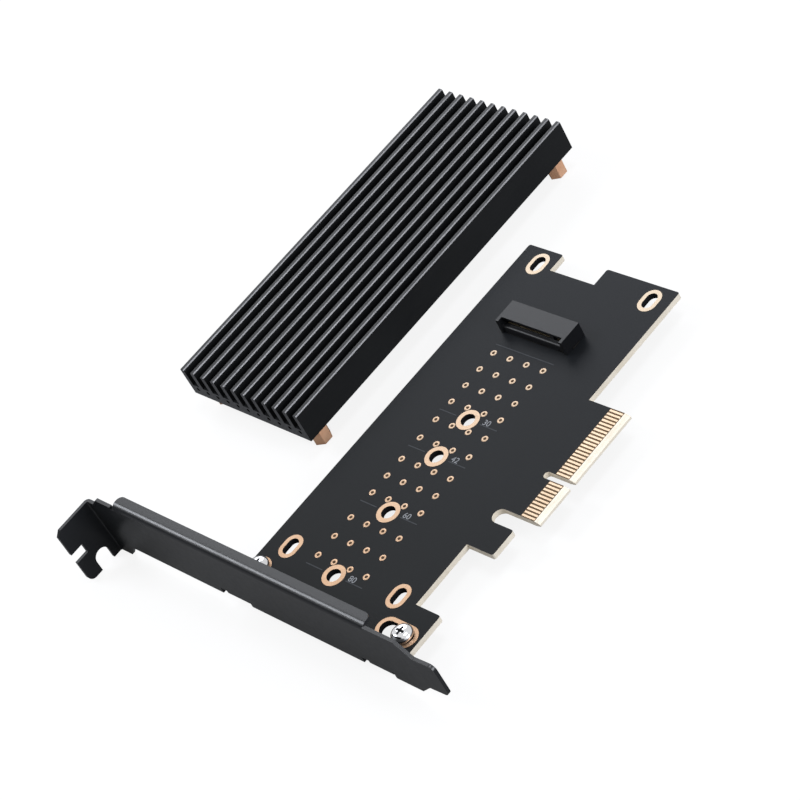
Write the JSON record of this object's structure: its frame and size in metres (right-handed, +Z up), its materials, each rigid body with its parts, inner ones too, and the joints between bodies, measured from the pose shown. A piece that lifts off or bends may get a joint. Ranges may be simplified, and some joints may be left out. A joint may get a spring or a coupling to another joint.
{
  "type": "nvme adapter card",
  "caption": "Plug-in card carrying one solid-state drive module: keyed edge contacts, low socket, full-height bracket, and its finned heatsink beside it on hex standoffs.",
  "frame": {"origin": "centre of the module hole farthest from the socket, on the board's upper face", "axes": "+X from the bracket to the board's far end, +Y towards the bracket's tab, +Z up from the component side"},
  "size_m": [0.1602, 0.1328, 0.0221],
  "materials": {
    "solder_mask": "matte dark grey solder mask over glass-fibre laminate",
    "gold_plate": "pale gold plating over copper",
    "print_ink": "flat grey print",
    "socket_plastic": "matte black moulded plastic",
    "tinned_steel": "tinned sheet",
    "black_coating": "fine satin black coating on folded steel sheet",
    "screw_nickel": "bright nickel plate",
    "black_aluminium": "black anodised extruded aluminium",
    "brass": "plain turned brass with a reddish tone",
    "pad_rubber": "soft grey silicone pad"
  },
  "bodies": {
    "root": {"circuit_board": "solder_mask", "edge_contacts_front": "gold_plate", "edge_contacts_back": "gold_plate", "module_hole_rings": "gold_plate", "sink_slot_rings": "gold_plate", "bracket_ring_left": "gold_plate", "bracket_ring_right": "gold_plate", "via_lands": "gold_plate", "printed_lines": "print_ink", "socket_housing": "socket_plastic", "socket_contacts_upper": "gold_plate", "socket_contacts_lower": "gold_plate", "socket_hold_downs": "tinned_steel", "bracket": "black_coating", "bracket_screw_left": "screw_nickel", "bracket_screw_right": "screw_nickel", "heatsink": "black_aluminium", "standoffs": "brass", "thermal_pad": "pad_rubber"}
  },
  "joints": []
}
